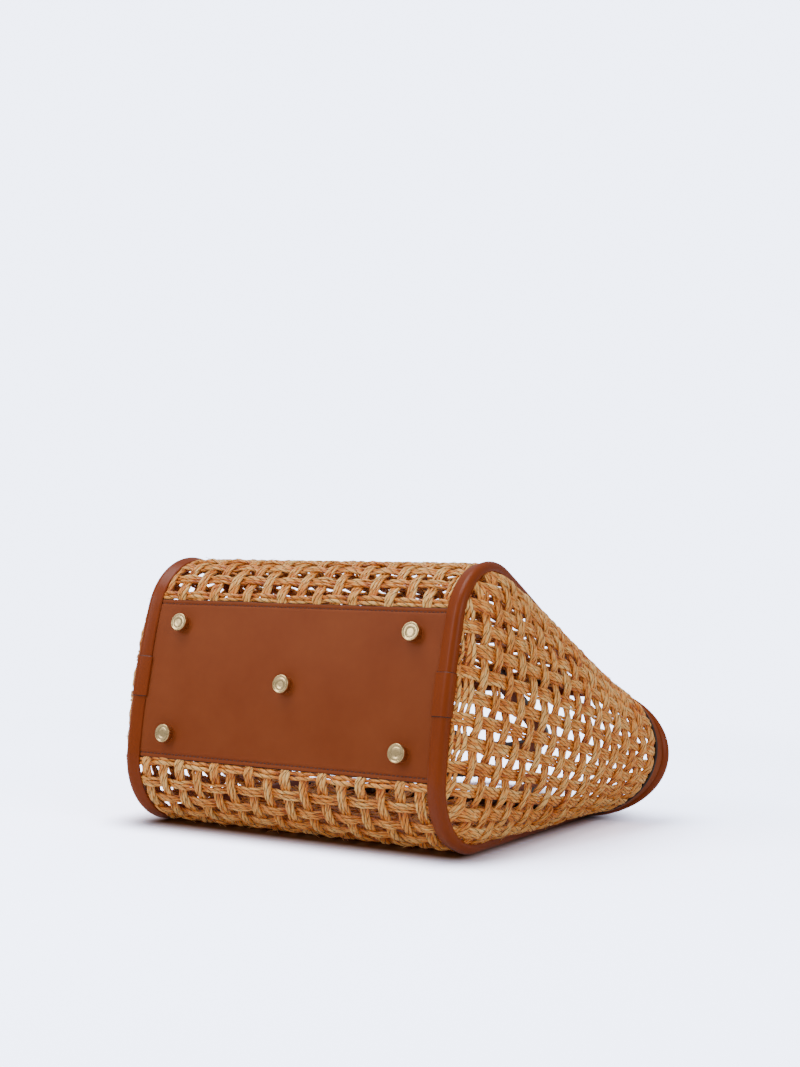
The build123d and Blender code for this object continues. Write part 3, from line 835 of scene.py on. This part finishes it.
edge_turn = np.linspace(0, np.pi / 2, 6)
band_section = [(band_start, -1.5)]
band_section += [(band_start + 0.6 - 0.6 * np.cos(a), 2.1 + 0.6 * np.sin(a)) for a in edge_turn]
band_section += [(band_start + 1.1, 2.75), (roll_start - 1.2, 2.7), (roll_start - 0.3, 2.3)]
band_section += [(roll_start + 0.4, 1.6), (roll_start + 0.4, -1.5)]
mouth_ring("mouth_band_leather", band_section, 7, [calf, edge_paint], "mouth_band")
roll_turn = np.linspace(-0.5 * np.pi, 0.5 * np.pi, 15)
roll_section = [(height - 3.75 + 3.75 * np.sin(a), 0.55 + 3.75 * np.cos(a) ** 0.9) for a in roll_turn]
roll_section = [(roll_start, -1.5)] + [(max(y, roll_start), out) for y, out in roll_section] + [(height, -1.5)]
mouth_ring("mouth_rolled_edge", roll_section, 0, [piping_calf], "mouth_roll")


# The feet.
# Turned brass with a pale gold plating: a cap with a raised rim and a plain dished middle with one
# fine ring, on a stem that stands in the leather.
gold, gold_shader = new_finish("pale_gold_plated_brass")
gold_place = add_node(gold, "ShaderNodeTexCoord").outputs["Object"]
gold_marks = add_node(gold, "ShaderNodeTexNoise", {"Vector": gold_place, "Scale": 1200.0, "Detail": 3.0})
gold_rough = add_node(
    gold, "ShaderNodeMapRange", {"Value": gold_marks.outputs["Fac"], "To Min": 0.22, "To Max": 0.36}
)
gold_values = {"Base Color": to_linear("#D6B986"), "Metallic": 1.0, "Roughness": gold_rough.outputs["Result"]}
shade(gold, gold_shader, gold_values)
foot_profile = [(5.3, -1.2), (5.3, 2.2), (5.45, 2.6), (5.85, 2.9), (6.0, 3.2), (6.0, 4.45), (5.9, 4.8)]
foot_profile += [(5.65, 5.0), (5.35, 5.0), (5.1, 4.85), (4.95, 4.6), (4.6, 4.5), (3.5, 4.52)]
foot_profile += [(3.35, 4.62), (3.15, 4.62), (3.0, 4.52), (1.6, 4.56), (0.0, 4.58)]
foot_r, foot_z = np.array(foot_profile).T
foot_turn = np.arange(48) * 2 * np.pi / 48
foot_names = ["foot_lower_left", "foot_lower_right", "foot_upper_left", "foot_upper_right", "foot_middle"]
for foot_name, (spot_x, spot_arc) in zip(foot_names, foot_spots):
    base_y, base_z = on_profile(spot_arc, leather_height)
    tip_y, tip_z = on_profile(spot_arc, leather_height + 1)
    normal_y, normal_z = tip_y - base_y, tip_z - base_z
    ring_x = spot_x + foot_r[:-1, None] * np.cos(foot_turn)
    ring_up = foot_r[:-1, None] * np.sin(foot_turn)
    foot_y = base_y + normal_y * foot_z[:-1, None] - normal_z * ring_up
    foot_zs = base_z + normal_z * foot_z[:-1, None] + normal_y * ring_up
    foot_points = lay_down(ring_x, foot_y, foot_zs).reshape(-1, 3)
    tip = lay_down(spot_x, base_y + normal_y * foot_z[-1], base_z + normal_z * foot_z[-1])
    rows = len(foot_r) - 1
    last_ring = (rows - 1) * 48 + np.arange(48)
    fan = np.stack([last_ring, np.roll(last_ring, -1), np.full(48, rows * 48)], -1)
    foot_faces = [grid_faces(rows, 48, round_columns=True)[:, ::-1], fan[:, ::-1], np.arange(48)[None]]
    foot = build_mesh(foot_name.replace("foot", "cap"), np.concatenate([foot_points, tip[None]]), foot_faces, [gold])
    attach(foot, "root")
    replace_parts(foot, foot_name)


# The handles.
# Two flat straps of doubled leather, cut as arches and sewn inside the mouth, with painted edges
# and a line of stitches along each side.
handle_outer, handle_reach, handle_tail, strap_middle = 57.5, 100.0, 34.0, 50.0


def handle_line(share, aside):
    """A place on the strap's arch: share runs from 0 to 3, up a leg, round half a circle and down."""
    radius = strap_middle + aside
    leg = handle_reach - handle_outer
    turn = np.pi * (np.clip(share, 1, 2) - 1)
    climbed = np.where(share < 1, share, np.where(share > 2, 3 - share, 1.0))
    return radius * np.cos(turn), -handle_tail + climbed * (leg + handle_tail) + radius * np.sin(turn)


def in_mouth(face, share, aside, lift):
    """The handle's plane: the face's line carried on past the mouth, just inside the band."""
    x, y = handle_line(share, aside)
    end = upper_length if face > 0 else -lower_length
    at_y, at_z = on_profile(end, lift - 3.8)
    before_y, before_z = on_profile(end - face, lift - 3.8)
    return lay_down(x, at_y + y * (at_y - before_y), at_z + y * (at_z - before_z))


strap_corner = np.linspace(0, np.pi / 2, 4)
strap_quarter = np.stack([6.8 + 0.7 * np.sin(strap_corner), 1.3 + 0.7 * np.cos(strap_corner)], -1)
strap_right = [[[0, 2.08]], strap_quarter, (strap_quarter * (1, -1))[::-1]]
strap_left = [[[0, -2.08]], strap_quarter * (-1, -1), (strap_quarter * (-1, 1))[::-1]]
strap_section = np.concatenate(strap_right + strap_left)
strap_places = np.concatenate([np.linspace(0, 1, 14), np.linspace(1, 2, 50)[1:-1], np.linspace(2, 3, 14)])
strap_sides = np.abs(strap_section[:, 0] + np.roll(strap_section[:, 0], -1)) / 2 > 7.2
for face, face_name in ((1, "upper"), (-1, "lower")):
    strap_points = in_mouth(face, strap_places[:, None], strap_section[:, 0], strap_section[:, 1])
    rows, columns = strap_points.shape[:2]
    strap_ends = [np.arange(columns)[None, ::-1], np.arange(columns)[None] + (rows - 1) * columns]
    strap_faces = [grid_faces(rows, columns, round_columns=True), *strap_ends]
    strap_faces = strap_faces if face > 0 else [group[:, ::-1] for group in strap_faces]
    strap_numbers = np.concatenate([np.tile(strap_sides, rows - 1).astype(int), [1, 1]])
    strap = build_mesh(
        face_name + "_strap", strap_points.reshape(-1, 3), strap_faces, [calf, edge_paint], strap_numbers
    )
    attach(strap, "root")
    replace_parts(strap, face_name + "_handle")
    sewn = np.concatenate([np.arange(0.45, 1, 0.05), np.arange(1, 2, 0.0255), np.arange(2, 2.55, 0.05)])
    sewn, sewn_aside, sewn_lift = (grid.ravel() for grid in np.meshgrid(sewn, [-5.4, 5.4], [-2.05, 2.05]))
    moves = ((0, 1), (0.01, 1), (0, 1.5))
    strap_stitches = [in_mouth(face, sewn + step, sewn_aside, sewn_lift * grow) for step, grow in moves]
    thread_beads(face_name + "_strap_stitches", *strap_stitches, 0.0029, 0.00036, thread)
